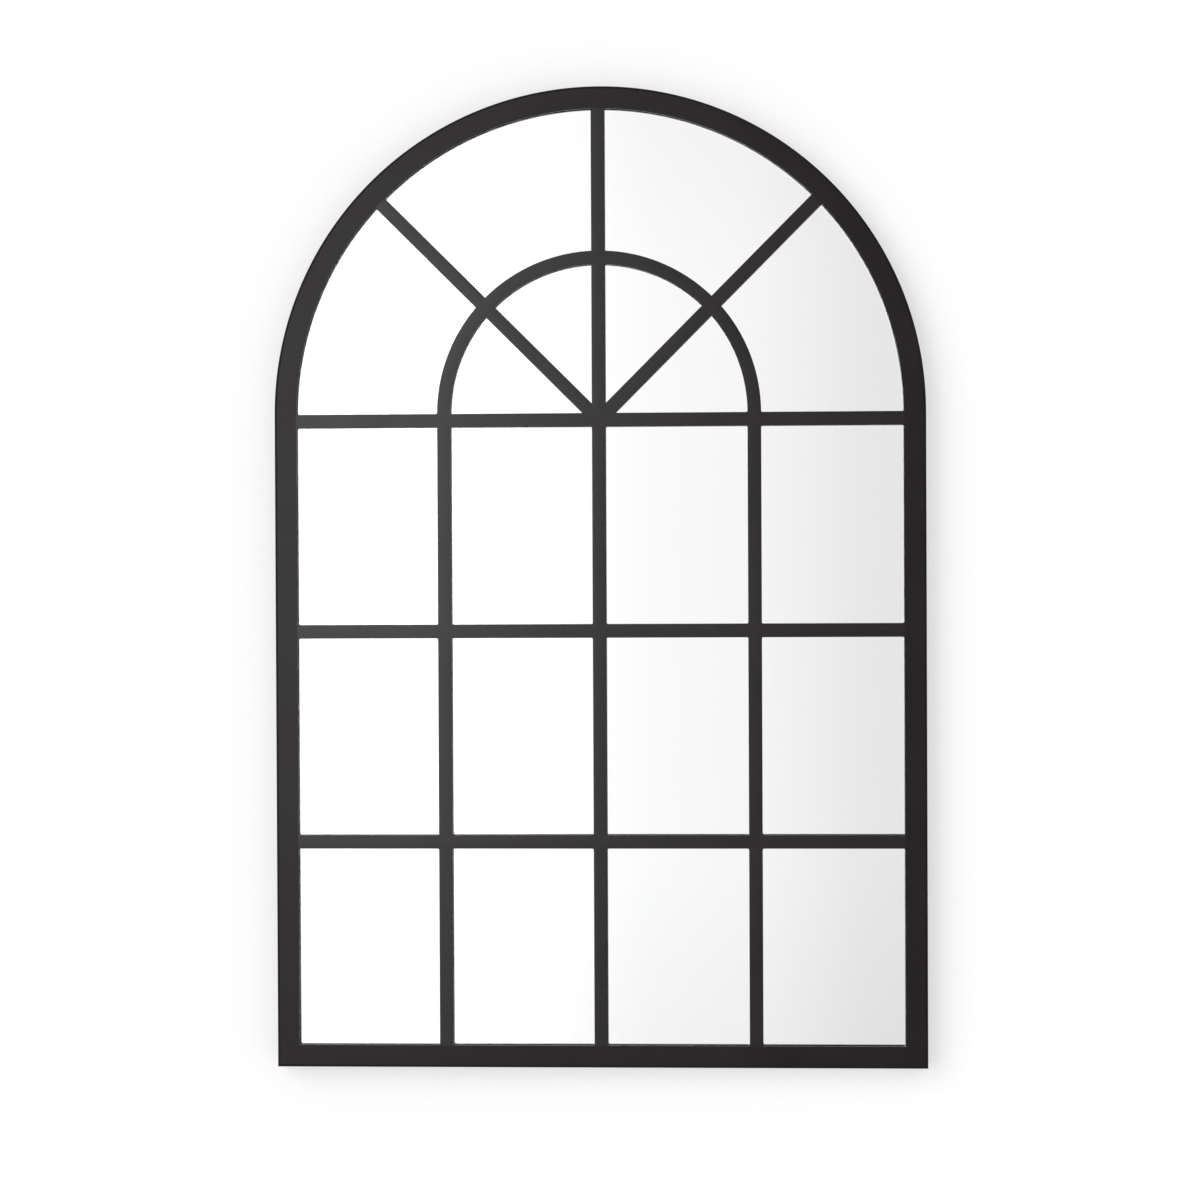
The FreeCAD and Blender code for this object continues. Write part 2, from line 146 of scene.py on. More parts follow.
def makePowderCoat(name, shine, smoothest):
    # matt black powder coat on steel: fine orange peel, dust-fine grain, slightly uneven gloss
    coat = Coat(name)
    peel = coat.noise(coat.place, 620, 2)
    grain = coat.noise(coat.place, 3600, 1)
    cloud = coat.noise(coat.place, 14, 3)
    height = peel * 0.8 + grain * 0.2
    tone = coat.spread(cloud, 0.3, 0.7, 0.0, 1.0)
    colour = coat.blend(tone, (0.0100, 0.0080, 0.0093, 1), (0.0138, 0.0112, 0.0130, 1))
    gloss = coat.spread(cloud + grain * 0.5, 0.45, 1.05, smoothest, smoothest + 0.07)
    return coat.set(baseColor=colour, roughness=gloss, specular=shine,
                    normal=coat.bump(height, 0.00006, 0.35))


def makeClearGlass():
    # low tint float glass with the faintest smears on its face
    coat = Coat("clearGlass")
    smear = coat.noise(coat.stretched(coat.place, (9, 9, 3)), 3, 4, 0.6)
    return coat.set(baseColor=(0.990, 0.994, 0.993, 1), transmission=1.0, ior=1.52,
                    roughness=coat.spread(smear, 0.55, 0.8, 0.0, 0.012))


def makeGroundEdge():
    # the ground and slightly frosted edge of the glass, where it looks green
    coat = Coat("groundGlassEdge")
    streak = coat.noise(coat.stretched(coat.place, (900, 120, 900)), 1, 2)
    tone = coat.spread(streak, 0.3, 0.7, 0.0, 1.0)
    return coat.set(baseColor=coat.blend(tone, (0.30, 0.55, 0.45, 1), (0.42, 0.68, 0.57, 1)),
                    roughness=coat.spread(streak, 0.3, 0.7, 0.30, 0.48), specular=0.5,
                    normal=coat.bump(streak, 0.00005, 0.5))


def makeSilver():
    coat = Coat("silverLayer")
    haze = coat.noise(coat.place, 6, 3)
    return coat.set(baseColor=(0.965, 0.962, 0.970, 1), metallic=1.0,
                    roughness=coat.spread(haze, 0.4, 0.9, 0.0, 0.01))


def makeBackingPaint():
    # the grey protective paint over the silver, with curtain coat streaks
    coat = Coat("mirrorBackingPaint")
    streak = coat.noise(coat.stretched(coat.place, (60, 60, 2)), 3, 3)
    tone = coat.spread(streak, 0.3, 0.7, 0.0, 1.0)
    return coat.set(baseColor=coat.blend(tone, (0.10, 0.105, 0.11, 1), (0.14, 0.145, 0.15, 1)),
                    roughness=coat.spread(streak, 0.3, 0.7, 0.45, 0.6))


def makeFibreboard():
    # bare hardboard: pressed brown fibres, darker flecks and a faint sheet direction
    coat = Coat("fibreboard")
    fibre = coat.noise(coat.stretched(coat.place, (620, 500, 380), (0, 0.35, 0)), 1, 5, 0.7, 1.6)
    crossing = coat.noise(coat.stretched(coat.place, (240, 300, 330), (0, -0.9, 0)), 1, 4, 0.6, 2.2)
    fleck = coat.noise(coat.place, 420, 2, 0.7)
    cloud = coat.noise(coat.place, 9, 4, 0.55)
    weave = fibre * 0.5 + crossing * 0.3 + cloud * 0.2
    tone = coat.spread(weave, 0.36, 0.64, 0.0, 1.0)
    brown = coat.blend(tone, (0.115, 0.066, 0.036, 1), (0.225, 0.138, 0.080, 1))
    dark = coat.spread(fleck, 0.66, 0.76, 0.0, 0.7)
    return coat.set(baseColor=coat.blend(dark, brown, (0.055, 0.031, 0.018, 1)),
                    roughness=coat.spread(weave, 0.35, 0.65, 0.62, 0.82),
                    normal=coat.bump(weave, 0.0004, 0.4))


def makeFoam():
    coat = Coat("packingFoam")
    cells = coat.add("ShaderNodeTexVoronoi", {}, {"Vector": coat.place, "Scale": 900}, 0)
    tone = coat.spread(cells, 0.0, 0.9, 0.0, 1.0)
    return coat.set(baseColor=coat.blend(tone, (0.80, 0.80, 0.79, 1), (0.90, 0.90, 0.89, 1)),
                    roughness=coat.spread(cells, 0.0, 0.9, 0.6, 0.8),
                    normal=coat.bump(cells, 0.0003, 0.5))


def makeTapeCloth():
    coat = Coat("glazingTapeCloth")
    warp = coat.add("ShaderNodeTexWave", {"bands_direction": "X"}, {"Vector": coat.place, "Scale": 320})
    weft = coat.add("ShaderNodeTexWave", {"bands_direction": "Z"}, {"Vector": coat.place, "Scale": 320})
    weave = warp.math("MAXIMUM", warp, weft)
    return coat.set(baseColor=coat.blend(weave, (0.008, 0.008, 0.008, 1), (0.022, 0.022, 0.022, 1)),
                    roughness=coat.spread(weave, 0, 1, 0.8, 0.95), normal=coat.bump(weave, 0.0001, 0.4))


def makeZinc(name, warm, bright, grainTurn):
    # bright zinc plating: a cool metal with faint blue and straw patches and tumbling scuffs
    coat = Coat(name)
    patch = coat.noise(coat.place, 70, 3, 0.6)
    scuff = coat.noise(coat.stretched(coat.place, (2600, 2600, 240), grainTurn), 1, 3, 0.7)
    spot = coat.noise(coat.place, 900, 2, 0.6)
    tone = coat.spread(patch, 0.34, 0.66, 0.0, 1.0)
    metal = coat.blend(tone, warm, bright)
    dull = coat.spread(spot, 0.6, 0.8, 0.0, 0.5)
    return coat.set(baseColor=coat.blend(dull, metal, (0.42, 0.42, 0.41, 1)), metallic=1.0,
                    roughness=coat.spread(scuff + spot * 0.6, 0.5, 1.1, 0.24, 0.44),
                    normal=coat.bump(scuff, 0.00008, 0.35))


def makeRubber():
    coat = Coat("bumperRubber")
    grain = coat.noise(coat.place, 1500, 2)
    cloud = coat.noise(coat.place, 90, 3)
    tone = coat.spread(cloud + grain * 0.4, 0.45, 0.95, 0.0, 1.0)
    return coat.set(baseColor=coat.blend(tone, (0.013, 0.013, 0.013, 1), (0.028, 0.028, 0.027, 1)),
                    roughness=coat.spread(cloud, 0.3, 0.7, 0.66, 0.82), specular=0.4,
                    normal=coat.bump(grain, 0.0001, 0.4))


powderCoat = makePowderCoat("powderCoat", 0.11, 0.21)
barCoat = makePowderCoat("powderCoatBars", 0.18, 0.18)  # the drawn bars are smoother under the same powder
clearGlass = makeClearGlass()
groundEdge = makeGroundEdge()
silverLayer = makeSilver()
backingPaint = makeBackingPaint()
fibreboard = makeFibreboard()
packingFoam = makeFoam()
tapeCloth = makeTapeCloth()
clipZinc = makeZinc("clipZinc", (0.66, 0.62, 0.54, 1), (0.62, 0.65, 0.68, 1), (0, 0.2, 0))
screwZinc = makeZinc("screwZinc", (0.70, 0.68, 0.62, 1), (0.66, 0.68, 0.70, 1), (0.3, 0, 0.2))
hangerZinc = makeZinc("hangerZinc", (0.64, 0.61, 0.55, 1), (0.60, 0.62, 0.65, 1), (0, 0, 0))
bumperRubber = makeRubber()
print("materials made:", len(bpy.data.materials))

# modelling helpers

near = 1e-6  # places closer than this are one place
past = 0.001  # how far a cutting tool reaches past what it cuts
sharp = 0.7  # edges that turn less than this angle aren't eased
facing = 0.9  # a face whose normal has at least this much of a direction faces that way


def startPiece(name, adder, scale=(1, 1, 1), **settings):
    bpy.ops.object.select_all(action="DESELECT")
    adder(**settings)
    piece = bpy.context.object
    piece.name = piece.data.name = name
    piece.scale = scale
    bpy.ops.object.transform_apply(location=True, rotation=True, scale=True)
    return piece


def pick(*pieces):
    # selects these pieces only, with the first one active
    bpy.ops.object.select_all(action="DESELECT")
    for piece in pieces:
        piece.select_set(True)
    bpy.context.view_layer.objects.active = pieces[0]


def editing(piece, on=True):
    if on:
        pick(piece)
    bpy.ops.object.mode_set(mode="EDIT" if on else "OBJECT")


def choose(piece, kind, test):
    # in edit mode, selects only the verts, edges or faces that pass the test
    bpy.ops.mesh.select_mode(type={"verts": "VERT", "edges": "EDGE", "faces": "FACE"}[kind])
    bpy.ops.mesh.select_all(action="DESELECT")
    shape = bmesh.from_edit_mesh(piece.data)
    for item in [item for item in getattr(shape, kind) if test(item)]:
        item.select_set(True)
    bmesh.update_edit_mesh(piece.data)


def chooseAll():
    bpy.ops.mesh.select_mode(type="VERT")
    bpy.ops.mesh.select_all(action="SELECT")


def cutPlane(point, normal, keep):
    # cuts the whole piece by a plane; keep is "both", "front" (the normal's side) or "back"
    chooseAll()
    bpy.ops.mesh.bisect(plane_co=point, plane_no=normal, use_fill=keep != "both",
                        clear_inner=keep == "front", clear_outer=keep == "back")


def pull(x=0.0, y=0.0, z=0.0):
    # extrudes what is selected
    bpy.ops.mesh.extrude_region_move(TRANSFORM_OT_translate={"value": (x, y, z)})


def middle(item):
    return sum((v.co for v in item.verts), Vector()) / len(item.verts)


def runs(edge, direction):
    # whether an edge is parallel to a direction
    way = edge.verts[1].co - edge.verts[0].co
    return way.length > near / 10 and abs(way.normalized().dot(direction)) > 0.9999


def finishPiece(piece, body, slot, nodes, *materials, smooth=32):
    # tidies the faces, then gives the piece its finish and its body, and hides the CAD nodes it stands in
    # for
    editing(piece)
    chooseAll()
    bpy.ops.mesh.remove_doubles(threshold=2 * near)
    bpy.ops.mesh.normals_make_consistent(inside=False)
    editing(piece, False)
    bpy.ops.object.shade_smooth_by_angle(angle=math.radians(smooth))
    bpy.ops.object.modifier_add(type="WEIGHTED_NORMAL")
    piece.modifiers[-1].keep_sharp = True
    piece.modifiers[-1].weight = 100
    bpy.ops.object.modifier_apply(modifier=piece.modifiers[-1].name)
    for material in materials:
        piece.data.materials.append(material)
    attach(piece, body)
    if nodes:
        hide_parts(*nodes)


def dress(node, material):
    # a CAD node that keeps its own shape
    item = frame["nodes"][node]
    item.data.materials.clear()
    item.data.materials.append(material)


# frame

rails = {
    "halfWidth": 0.299, "springLine": 0.601, "front": -0.0125, "rim": 0.0115,
    "face": 0.0205, "wall": 0.003, "bend": 0.0025, "bendSteps": 7,
    "edgeRound": 0.00035, "insideBend": 0.0008, "archSteps": 128,
}


def angleProfile(name, side):
    # the folded section of one stile, lying flat at the spring line; side is -1 or 1
    r = rails
    outer, inner = side * r["halfWidth"], side * (r["halfWidth"] - r["face"])
    wallLine = outer - side * r["wall"]
    back = r["front"] + r["wall"]
    piece = startPiece(name, bpy.ops.mesh.primitive_plane_add, size=1,
                       location=((outer + inner) / 2, (r["front"] + back) / 2, r["springLine"]),
                       scale=(r["face"], r["wall"], 1))
    editing(piece)
    cutPlane((wallLine, 0, 0), (1, 0, 0), "both")
    choose(piece, "edges", lambda e: all(abs(v.co.y - back) < near and
           side * v.co.x > side * wallLine - near for v in e.verts))
    pull(y=r["rim"] - back)
    chooseAll()
    bpy.ops.mesh.dissolve_limited(angle_limit=0.01)

    def corner(x, y):
        return lambda v: abs(v.co.x - x) < near and abs(v.co.y - y) < near

    choose(piece, "verts", corner(outer, r["front"]))
    bpy.ops.mesh.bevel(offset=r["bend"], segments=r["bendSteps"], affect="VERTICES")
    choose(piece, "verts", corner(wallLine, back))
    bpy.ops.mesh.bevel(offset=r["insideBend"], segments=3, affect="VERTICES")
    sheared = ((inner, r["front"]), (inner, back), (wallLine, r["rim"]), (outer, r["rim"]))
    for x, y in sheared:
        choose(piece, "verts", corner(x, y))
        bpy.ops.mesh.bevel(offset=r["edgeRound"], segments=2, affect="VERTICES")
    return piece


def makeStile(name, side, node):
    r = rails
    piece = angleProfile(name, side)
    choose(piece, "faces", lambda f: True)
    pull(z=-r["springLine"])
    cutPlane((side * r["halfWidth"], 0, 0), (side, 0, 1), "front")
    editing(piece, False)
    finishPiece(piece, "frame", "frame_paint", [node], powderCoat)


def makeBottomRail():
    r = rails
    piece = angleProfile("bottomRail", -1)
    choose(piece, "faces", lambda f: True)
    pull(z=-2 * r["halfWidth"])
    editing(piece, False)
    piece.rotation_euler = (0, math.radians(-90), 0)
    piece.location = (r["springLine"] - r["halfWidth"], 0, r["halfWidth"])
    bpy.ops.object.transform_apply(location=True, rotation=True, scale=True)
    editing(piece)
    for side in (-1, 1):
        cutPlane((side * r["halfWidth"], 0, 0), (side, 0, 1), "back")
    editing(piece, False)
    finishPiece(piece, "frame", "frame_paint", ["bottom_rail"], powderCoat)


def makeArchRail():
    r = rails
    piece = angleProfile("archRail", -1)
    choose(piece, "faces", lambda f: True)
    bpy.ops.mesh.spin(steps=r["archSteps"], angle=-math.pi, center=(0, 0, r["springLine"]), axis=(0, 1, 0))
    editing(piece, False)
    finishPiece(piece, "frame", "frame_paint", ["arch_rail"], powderCoat)


makeStile("leftStile", -1, "left_stile")
makeStile("rightStile", 1, "right_stile")
makeBottomRail()
makeArchRail()
print("rails made")

# lattice

bars = {"width": 0.0125, "thickness": 0.003, "edgeRound": 0.00035, "ringSteps": 112,
        "spokeBlank": 0.3, "spokeTurn": math.radians(45)}


def flatBar(name, centre, length, turn=0.0):
    # a flat bar along z, turned about y through its middle, with its long edges eased
    b = bars
    piece = startPiece(name, bpy.ops.mesh.primitive_cube_add, size=1, location=centre,
                       rotation=(0, turn, 0), scale=(b["width"], b["thickness"], length))
    along = Vector((math.sin(turn), 0, math.cos(turn)))
    editing(piece)
    choose(piece, "edges", lambda e: runs(e, along))
    bpy.ops.mesh.bevel(offset=b["edgeRound"], segments=2, affect="EDGES")
    return piece


def barOfNode(name, node):
    # a bar that fills the place of its node and closes the eased edges it butts against
    low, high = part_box(node)
    centre, size = (low + high) / 2, high - low
    lying = size.x > size.z
    length = max(size.x, size.z) + 2 * bars["edgeRound"]
    piece = flatBar(name, centre, length, math.pi / 2 if lying else 0.0)
    editing(piece, False)
    finishPiece(piece, "frame", "frame_paint", [node], barCoat)


levels = ("lower", "middle", "upper")
for level in levels:
    barOfNode(level + "Transom", level + "_transom")
    for side in ("left", "centre", "right"):
        barOfNode(side + "Upright" + level.capitalize(), f"{side}_upright_{level}")


def makeInnerArch():
    b, springLine = bars, rails["springLine"]
    low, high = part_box("inner_arch")
    radius = high.x - b["width"] / 2
    piece = startPiece("innerArch", bpy.ops.mesh.primitive_plane_add, size=1,
                       location=(-radius, (low.y + high.y) / 2, springLine),
                       scale=(b["width"], b["thickness"], 1))
    editing(piece)
    chooseAll()
    bpy.ops.mesh.bevel(offset=b["edgeRound"], segments=2, affect="VERTICES")
    choose(piece, "faces", lambda f: True)
    bpy.ops.mesh.spin(steps=b["ringSteps"], angle=-math.pi, center=(0, 0, springLine), axis=(0, 1, 0))
    choose(piece, "faces", lambda f: abs(middle(f).z - springLine) < 10 * near and len(f.verts) > 4)
    pull(z=-b["edgeRound"])
    editing(piece, False)
    finishPiece(piece, "frame", "frame_paint", ["inner_arch"], barCoat)


def spokePoint(turn, radius):
    # where a spoke's middle line meets a circle round the arch's centre
    hub = Vector((0, 0, rails["springLine"] - bars["width"] / 2))
    centre = Vector((0, 0, rails["springLine"]))
    way = Vector((math.sin(turn), 0, math.cos(turn)))
    offset = hub - centre
    b = offset.dot(way)
    reach = -b + math.sqrt(b * b - offset.dot(offset) + radius * radius)
    point = hub + way * reach
    return point, (point - centre).normalized()


def makeSpoke(name, node, turn, fromRadius, toRadius):
    b = bars
    level = (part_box(node)[0].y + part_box(node)[1].y) / 2
    hub = Vector((0, level, rails["springLine"] - b["width"] / 2))
    way = Vector((math.sin(turn), 0, math.cos(turn)))
    piece = flatBar(name, hub + way * b["spokeBlank"] / 2, b["spokeBlank"], turn)
    point, normal = spokePoint(turn, toRadius)
    cutPlane(point, normal, "back")
    if fromRadius:
        point, normal = spokePoint(turn, fromRadius)
        cutPlane(point, normal, "front")
    else:
        # the foot stands on the upper cross bar, and a leaning spoke meets the centre one
        cutPlane((0, 0, rails["springLine"] - b["edgeRound"]), (0, 0, 1), "front")
        if turn:
            side = 1 if turn > 0 else -1
            cutPlane((side * (b["width"] / 2 - b["edgeRound"]), 0, 0), (side, 0, 0), "front")
    editing(piece, False)
    finishPiece(piece, "frame", "frame_paint", [node], barCoat)


makeInnerArch()
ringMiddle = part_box("inner_arch")[1].x - bars["width"] / 2
sag = bars["width"] ** 2 / 8  # how far an arc bows across the end of a bar, times its radius
innerEdge, outerEdge = ringMiddle - bars["width"] / 2, ringMiddle + bars["width"] / 2
sightEdge = rails["halfWidth"] - rails["face"]
for side, turn in (("centre", 0.0), ("left", -bars["spokeTurn"]), ("right", bars["spokeTurn"])):
    makeSpoke(side + "SpokeInner", side + "_spoke_inner", turn, 0,
              innerEdge + bars["edgeRound"] - sag / innerEdge)
    makeSpoke(side + "SpokeOuter", side + "_spoke_outer", turn, outerEdge - bars["edgeRound"],
              sightEdge + rails["edgeRound"] - sag / sightEdge)
print("lattice made")

# glazing

glazing = {"silver": 0.0001, "silverGap": 0.00001, "arris": 0.0004, "boardRound": 0.0005, "steps": 192,
           "sheetSmooth": 20}


def archedPanel(name, node, yFront, yBack, arris):
    # a sheet with a half round top, from a disc cut at the spring line and drawn down
    low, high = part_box(node)
    springLine = rails["springLine"]
    piece = startPiece(name, bpy.ops.mesh.primitive_circle_add, vertices=glazing["steps"],
                       radius=high.x, fill_type="NGON", location=(0, yFront, springLine),
                       rotation=(math.pi / 2, 0, 0))
    editing(piece)
    cutPlane((0, 0, springLine), (0, 0, 1), "front")
    choose(piece, "edges", lambda e: all(abs(v.co.z - springLine) < near for v in e.verts))
    pull(z=low.z - springLine)
    chooseAll()
    bpy.ops.mesh.dissolve_limited(angle_limit=0.005)
    choose(piece, "faces", lambda f: True)
    pull(y=yBack - yFront)
    if arris:
        choose(piece, "edges", lambda e: abs(e.verts[0].co.y - e.verts[1].co.y) < near
               and e.calc_face_angle(0) > sharp)
        bpy.ops.mesh.bevel(offset=arris, segments=2, affect="EDGES")
    editing(piece, False)
    return piece


def makeGlass():
    low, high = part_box("mirror_glass")
    silverFront = high.y - glazing["silver"]
    glass = archedPanel("glassSheet", "mirror_glass", low.y, silverFront - glazing["silverGap"],
                        glazing["arris"])
    finishPiece(glass, "frame", "mirror_glass", ["mirror_glass"], clearGlass, groundEdge,
                smooth=glazing["sheetSmooth"])
    for face in glass.data.polygons:
        face.material_index = 0 if abs(face.normal.y) > facing else 1
    silver = archedPanel("silverBacking", "mirror_glass", silverFront, high.y, 0)
    finishPiece(silver, "frame", "mirror_glass", ["mirror_glass"], silverLayer, backingPaint,
                smooth=glazing["sheetSmooth"])
    for face in silver.data.polygons:
        face.material_index = 0 if face.normal.y < -facing else 1


def makeBacking():
    low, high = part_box("foam_sheet")
    foam = archedPanel("foamSheet", "foam_sheet", low.y, high.y, 0)
    finishPiece(foam, "frame", "foam", ["foam_sheet"], packingFoam, smooth=glazing["sheetSmooth"])
    low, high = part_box("back_board")
    board = archedPanel("backBoard", "back_board", low.y, high.y, glazing["boardRound"])
    finishPiece(board, "frame", "board", ["back_board"], fibreboard, smooth=glazing["sheetSmooth"])


makeGlass()
makeBacking()
dress("glazing_tape", tapeCloth)
print("glazing made")

# fixings

fixings = {
    "screwHead": 0.004, "screwHeadHeight": 0.0026, "screwCrown": 0.0015, "screwShank": 0.002,
    "screwLength": 0.008, "screwLap": 0.0005, "screwTip": 0.0004, "screwTurn": 0.37,
    "crossSpan": 0.0044, "crossWidth": 0.0011, "crossDepth": 0.0015, "crossTaper": (0.62, 1, 0.8),
    "hole": 0.00205, "washer": 0.0045, "ease": 0.00015,
    "clipWidth": 0.011, "clipReach": 0.022, "clipThickness": 0.0015,
    "lipWidth": 0.007, "lipThickness": 0.0015, "lipMiddle": 0.02575, "lipRound": 0.0012,
    "ribSize": (0.0026, 0.0006, 0.013), "ribMiddle": 0.0135, "ribRound": 0.0008,
    "hangerWidth": 0.013, "hangerReach": 0.063, "hangerColumn": 0.289, "hangerLevel": 0.520,
    "hangerScrewReach": 0.030, "keyEntry": 0.0042, "keySlot": 0.0022, "keyRise": 0.011,
    "bumper": 0.006, "bumperRecess": 0.0044, "bumperSeat": 0.0024, "bumperRound": 0.0006,
    "recessRound": 0.0003,
    "bumperPlaces": ((-0.259, 0.010), (0.259, 0.010), (-0.26401, 0.71855), (0.26401, 0.71855)),
}
clipPivots = {joint["child"]: Vector(joint["pos_m"]) for joint in frame["joints"]}
hangerScrews = [(side * fixings["hangerColumn"], fixings["hangerLevel"] + way * fixings["hangerScrewReach"])
                for side in (-1, 1) for way in (-1, 1)]


def rod(name, radius, start, end, x=0.0, z=0.0, steps=40):
    # a round bar between two depths
    return startPiece(name, bpy.ops.mesh.primitive_cylinder_add, vertices=steps, radius=radius,
                      depth=end - start, location=(x, (start + end) / 2, z), rotation=(math.pi / 2, 0, 0))


def block(name, size, centre):
    return startPiece(name, bpy.ops.mesh.primitive_cube_add, scale=size, size=1, location=centre)


def modify(piece, kind, **settings):
    # adds a modifier to a piece and applies it
    pick(piece)
    bpy.ops.object.modifier_add(type=kind)
    change = piece.modifiers[-1]
    for name, value in settings.items():
        setattr(change, name, value)
    bpy.ops.object.modifier_apply(modifier=change.name)


def combine(piece, tool, operation="DIFFERENCE"):
    modify(piece, "BOOLEAN", operation=operation, solver="EXACT", object=tool)
    bpy.data.objects.remove(tool)
    return piece


def ease(piece, width, segments=2, test=lambda edge: True):
    # rounds the sharp edges that pass the test
    editing(piece)
    choose(piece, "edges", lambda e: len(e.link_faces) == 2 and e.calc_face_angle(0) > sharp and test(e))
    bpy.ops.mesh.bevel(offset=width, segments=segments, affect="EDGES")
    editing(piece, False)


def duplicate(piece, name, place, turn=0.0):
    # a copy with a mesh of its own, turned about y and set at its place
    pick(piece)
    bpy.ops.object.duplicate()
    made = bpy.context.object
    made.name = made.data.name = name
    made.rotation_euler = (0, turn, 0)
    made.location = place
    bpy.ops.object.transform_apply(location=True, rotation=True, scale=True)
    return made


def gather(name, pieces):
    pick(*pieces)
    bpy.ops.object.join()
    pieces[0].name = pieces[0].data.name = name
    return pieces[0]


def repeat(name, template, seats):
    # one piece of copies of a template, each at its place with its turn
    copies = [duplicate(template, f"{name}{i}", place, turn) for i, (place, turn) in enumerate(seats)]
    bpy.data.objects.remove(template)
    return gather(name, copies)


def stadium(name, width, reach, thickness, steps=48):
    # a round ended plate from the origin up, with its front face at y 0
    piece = rod(name, width / 2, 0.0, thickness, steps=steps)
    editing(piece)
    cutPlane((0, 0, 0), (0, 0, 1), "both")
    choose(piece, "faces", lambda f: middle(f).z > near)
    pull(z=reach)
    editing(piece, False)
    return piece


def makeClips():
    # a plate that turns on its screw, with a thumb lip turned up at the tip
    f = fixings
    low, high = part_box("clip_left_lower")
    clip = stadium("clipTemplate", f["clipWidth"], f["clipReach"], f["clipThickness"])
    root = f["clipThickness"] / 2
    lip = block("lip", (f["lipWidth"], high.y - low.y - root, f["lipThickness"]),
                (0, (high.y - low.y + root) / 2, f["lipMiddle"]))
    ease(lip, f["lipRound"], 3, lambda e: runs(e, Vector((0, 0, 1))) and middle(e).y > f["clipThickness"])
    combine(clip, lip, "UNION")
    combine(clip, rod("eye", f["hole"], -past, 2 * f["clipThickness"]))
    rib = block("rib", f["ribSize"], (0, f["clipThickness"], f["ribMiddle"]))
    ease(rib, f["ribRound"], 3, lambda e: runs(e, Vector((0, 1, 0))))
    combine(clip, rib, "UNION")
    ease(clip, f["ease"])
    for node, pivot in clipPivots.items():
        corner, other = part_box(node)
        way = (corner + other) / 2 - pivot
        side = node.replace("clip_", "").split("_")
        name = "clip" + "".join(word.capitalize() for word in side)
        piece = duplicate(clip, name, (pivot.x, corner.y, pivot.z), math.atan2(way.x, way.z))
        finishPiece(piece, node, "clip_steel", [node], clipZinc)
    bpy.data.objects.remove(clip)


def makeScrews():
    # pan heads with a cross recess, all alike
    f = fixings
    screw = rod("screwTemplate", f["screwHead"], 0.0, f["screwHeadHeight"])
    ease(screw, f["screwCrown"], 5, lambda e: middle(e).y > f["screwHeadHeight"] - near)
    ease(screw, f["ease"], 1, lambda e: middle(e).y < near)
    for turn in (0.0, math.pi / 2):
        arm = block("crossArm", (f["crossSpan"], 2 * f["crossDepth"], f["crossWidth"]),
                    (0, f["screwHeadHeight"], 0))
        editing(arm)
        choose(arm, "faces", lambda face: face.normal.y < -facing)
        bpy.ops.transform.resize(value=f["crossTaper"])
        editing(arm, False)
        arm.rotation_euler = (0, turn, 0)
        bpy.ops.object.transform_apply(location=True, rotation=True, scale=True)
        combine(screw, arm)
    shank = rod("shank", f["screwShank"], -f["screwLength"], f["screwLap"], steps=24)
    ease(shank, f["screwTip"], 1, lambda e: middle(e).y < -f["screwLength"] + near)
    combine(screw, shank, "UNION")
    seats = [(p.x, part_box("clip_washers")[1].y, p.z) for p in clipPivots.values()]
    seats += [(x, f["bumperSeat"], z) for x, z in f["bumperPlaces"]]
    seats += [(x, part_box("left_hanger_plate")[1].y, z) for x, z in hangerScrews]
    seats = [(place, f["screwTurn"] * i) for i, place in enumerate(seats)]
    finishPiece(repeat("fixingScrews", screw, seats), "frame", "screw_steel", ["fixing_screws"], screwZinc)


def makeWashers():
    f = fixings
    low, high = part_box("clip_washers")
    ring = combine(rod("washerTemplate", f["washer"], 0.0, high.y - low.y),
                   rod("bore", f["hole"], -past, 2 * past))
    ease(ring, f["ease"])
    seats = [((p.x, low.y, p.z), 0.0) for p in clipPivots.values()]
    finishPiece(repeat("clipWashers", ring, seats), "frame", "screw_steel", ["clip_washers"], screwZinc)


def makeHangers():
    f = fixings
    low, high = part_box("left_hanger_plate")
    foot = f["hangerLevel"] - f["hangerReach"] / 2
    plate = stadium("hangerTemplate", f["hangerWidth"], f["hangerReach"], high.y - low.y)
    level = f["hangerReach"] / 2
    start, end = -past, 4 * past
    combine(plate, rod("keyEntry", f["keyEntry"], start, end, z=level))
    combine(plate, block("keySlot", (2 * f["keySlot"], 10 * past, f["keyRise"]),
                         (0, 0, level + f["keyRise"] / 2)))
    combine(plate, rod("keyTop", f["keySlot"], start, end, z=level + f["keyRise"], steps=32))
    for way in (-1, 1):
        combine(plate, rod("screwHole", f["hole"], start, end, z=level + way * f["hangerScrewReach"]))
    ease(plate, f["ease"])
    for side, word in ((-1, "left"), (1, "right")):
        piece = duplicate(plate, word + "HangerPlate", (side * f["hangerColumn"], low.y, foot))
        finishPiece(piece, "frame", "hanger_steel", [word + "_hanger_plate"], hangerZinc)
    bpy.data.objects.remove(plate)


def makeBumpers():
    f = fixings
    low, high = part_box("wall_bumpers")
    foot = rod("bumperTemplate", f["bumper"], low.y, high.y, steps=56)
    combine(foot, rod("bore", f["hole"], low.y - past, high.y))
    combine(foot, rod("recess", f["bumperRecess"], f["bumperSeat"], high.y + past, steps=48))
    between = (f["bumper"] + f["bumperRecess"]) / 2

    def fromAxis(edge):
        return Vector((middle(edge).x, middle(edge).z)).length

    ease(foot, f["bumperRound"], 4, lambda e: middle(e).y > high.y - near and fromAxis(e) > between)
    ease(foot, f["recessRound"], 2, lambda e: middle(e).y > high.y - near
         and fromAxis(e) < f["bumperRecess"] + near)
    seats = [((x, 0, z), 0.0) for x, z in f["bumperPlaces"]]
    finishPiece(repeat("wallBumpers", foot, seats), "frame", "bumper_rubber", ["wall_bumpers"],
                bumperRubber)


makeClips()
makeScrews()
makeWashers()
makeHangers()
makeBumpers()
print("fixings made")

# welds

